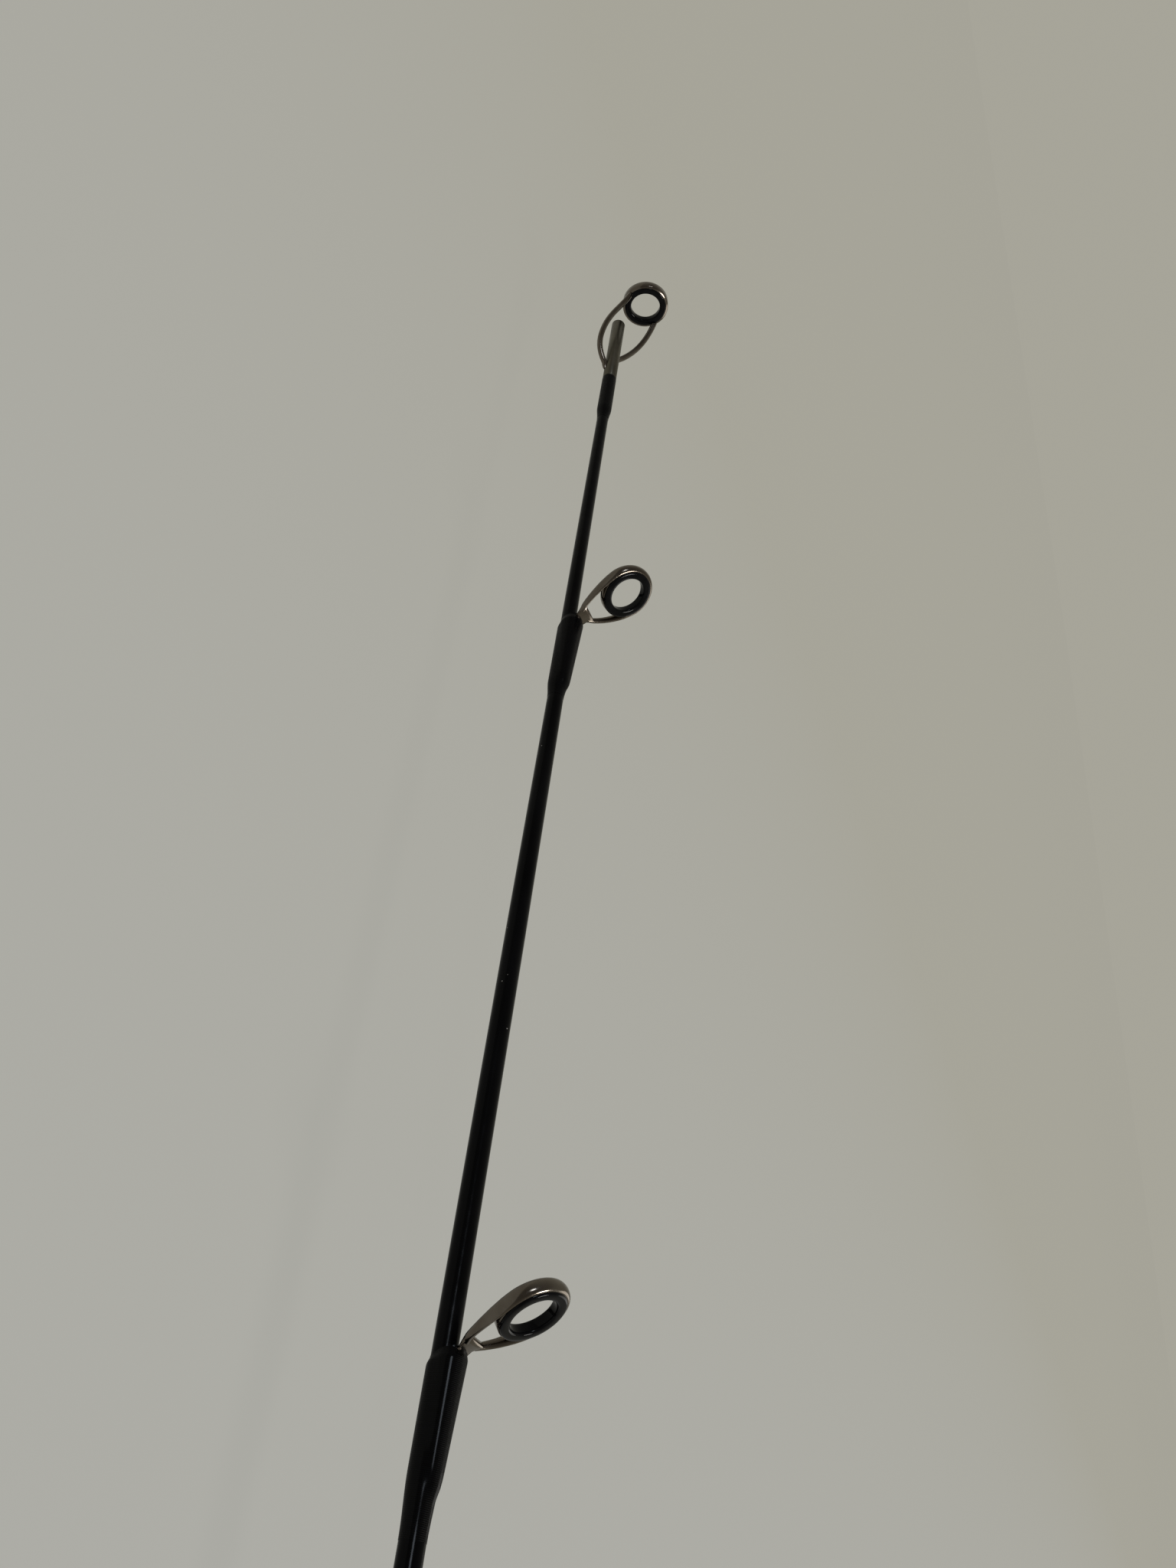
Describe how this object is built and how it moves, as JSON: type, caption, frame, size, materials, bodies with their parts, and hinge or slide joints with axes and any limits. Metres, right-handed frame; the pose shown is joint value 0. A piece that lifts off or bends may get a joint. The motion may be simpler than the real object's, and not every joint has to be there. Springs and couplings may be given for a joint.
{
  "type": "ice fishing rod",
  "caption": "Short ice fishing rod with cork grips, a screw-lock reel seat and ringed single-foot line guides bound to a slim tapered blank.",
  "frame": {"origin": "middle of the butt cap's flat end face, on the blank's axis", "axes": "+X along the rod from the butt to the tip, +Z the side that the line guides and the reel stand on, +Y to the left when looking from the butt to the tip with the guides up"},
  "size_m": [0.711, 0.0278, 0.0342],
  "materials": {
    "blank_lacquer": "gloss black lacquer over a solid fibre stick",
    "thread_wrap": "black thread under clear varnish",
    "frame_metal": "polished dark chrome",
    "tube_metal": "dull grey metal",
    "ring_ceramic": "polished black ceramic",
    "trim_metal": "satin grey anodised",
    "cork": "sanded cork",
    "rubber": "matt black rubber",
    "check_rubber": "matt black rubber",
    "seat_plastic": "satin black moulding",
    "hood_plastic": "satin black moulding",
    "arbor_foam": "stiff foam, sealed inside the seat"
  },
  "bodies": {
    "rod": {"butt_cap": "rubber", "rear_grip": "cork", "rear_trim_ring": "trim_metal", "seat_body": "seat_plastic", "seat_arbor_rear": "arbor_foam", "seat_arbor_front": "arbor_foam", "fixed_hood": "hood_plastic", "front_trim_ring": "trim_metal", "foregrip": "cork", "winding_check": "check_rubber", "hook_keeper": "frame_metal", "hook_keeper_wrap_rear": "thread_wrap", "hook_keeper_wrap_front": "thread_wrap", "blank": "blank_lacquer", "tip_tube": "tube_metal", "tip_frame": "frame_metal", "tip_ring": "ring_ceramic", "tip_wrap": "thread_wrap", "guide_1_frame": "frame_metal", "guide_1_ring": "ring_ceramic", "guide_1_wrap": "thread_wrap", "guide_2_frame": "frame_metal", "guide_2_ring": "ring_ceramic", "guide_2_wrap": "thread_wrap", "guide_3_frame": "frame_metal", "guide_3_ring": "ring_ceramic", "guide_3_wrap": "thread_wrap", "guide_4_frame": "frame_metal", "guide_4_ring": "ring_ceramic", "guide_4_wrap": "thread_wrap"},
    "sliding_hood": {"sliding_hood": "hood_plastic"},
    "lock_nut": {"lock_nut": "hood_plastic"}
  },
  "joints": [
    {"name": "hood_slide", "type": "slide", "parent": "rod", "child": "sliding_hood", "axis": [1, 0, 0], "range_m": [0, 0.018]},
    {"name": "nut_turn", "type": "hinge", "parent": "sliding_hood", "child": "lock_nut", "pos_m": [0.1211, 0, 0], "axis": [1, 0, 0], "range_deg": [0, 3240]}
  ],
  "couplings": [
    {"joint": "hood_slide", "follows": "nut_turn", "m_per_rad": 0.00031831}
  ]
}
